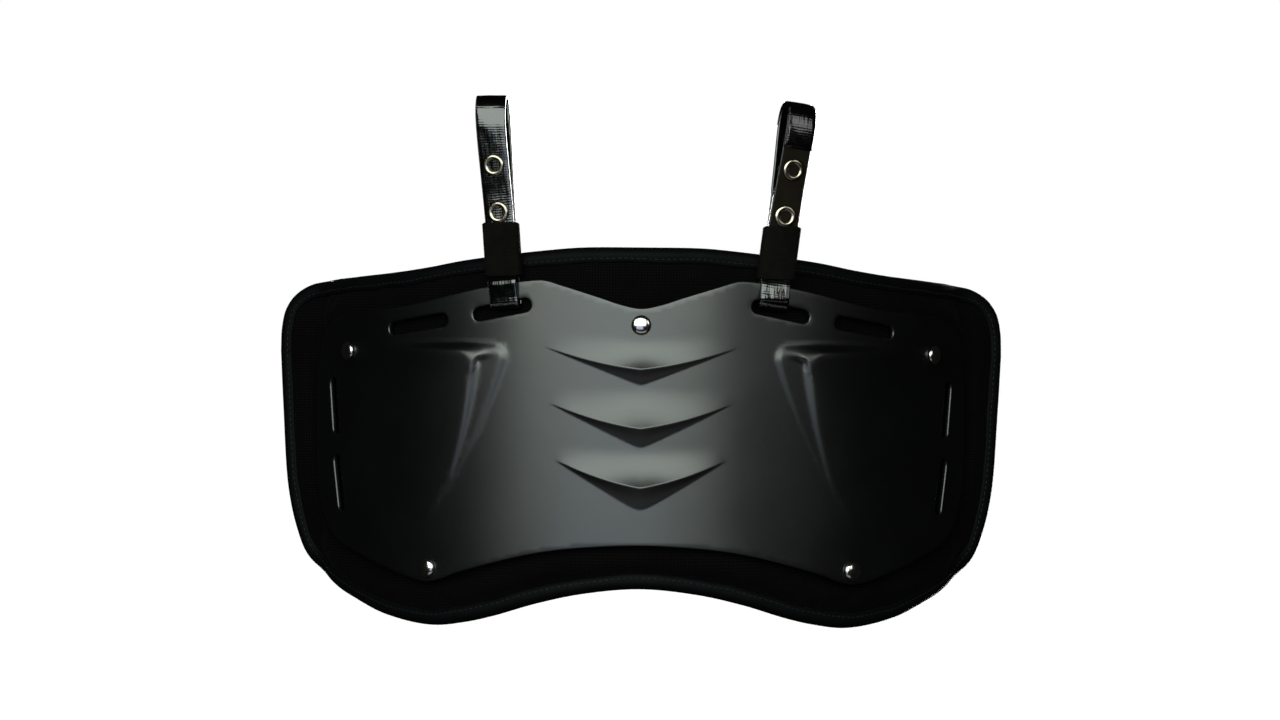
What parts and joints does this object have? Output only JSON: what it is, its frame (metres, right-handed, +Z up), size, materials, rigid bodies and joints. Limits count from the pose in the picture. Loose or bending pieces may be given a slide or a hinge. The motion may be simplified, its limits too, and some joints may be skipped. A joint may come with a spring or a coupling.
{
  "type": "football back plate",
  "caption": "Curved moulded back plate riveted to a bound foam pad, hung from two eyeleted strap loops with woven keepers.",
  "frame": {"origin": "midway between the insides of the two strap loops, where the plate hangs", "axes": "+X to the right as seen from outside, +Y towards the wearer, +Z up"},
  "size_m": [0.422, 0.15, 0.2962],
  "materials": {
    "shell_plastic": "black moulded polyethylene, satin gloss",
    "pad_cover": "matt black knitted cover over foam",
    "binding_tape": "black woven binding tape, stitched",
    "rivet_nickel": "polished nickel plate",
    "eyelet_nickel": "warm nickel plate, lightly worn",
    "strap_vinyl": "gloss black vinyl on a cloth backing",
    "keeper_elastic": "ribbed black elastic webbing"
  },
  "bodies": {
    "root": {"shell": "shell_plastic", "pad": "pad_cover", "binding": "binding_tape", "rivet_centre": "rivet_nickel", "rivet_upper_left": "rivet_nickel", "rivet_upper_right": "rivet_nickel", "rivet_lower_left": "rivet_nickel", "rivet_lower_right": "rivet_nickel", "strap_left": "strap_vinyl", "strap_right": "strap_vinyl", "keeper_left": "keeper_elastic", "keeper_right": "keeper_elastic", "eyelet_left_lower_front": "eyelet_nickel", "eyelet_left_lower_back": "eyelet_nickel", "eyelet_left_upper_front": "eyelet_nickel", "eyelet_left_upper_back": "eyelet_nickel", "eyelet_right_lower_front": "eyelet_nickel", "eyelet_right_lower_back": "eyelet_nickel", "eyelet_right_upper_front": "eyelet_nickel", "eyelet_right_upper_back": "eyelet_nickel"}
  },
  "joints": []
}
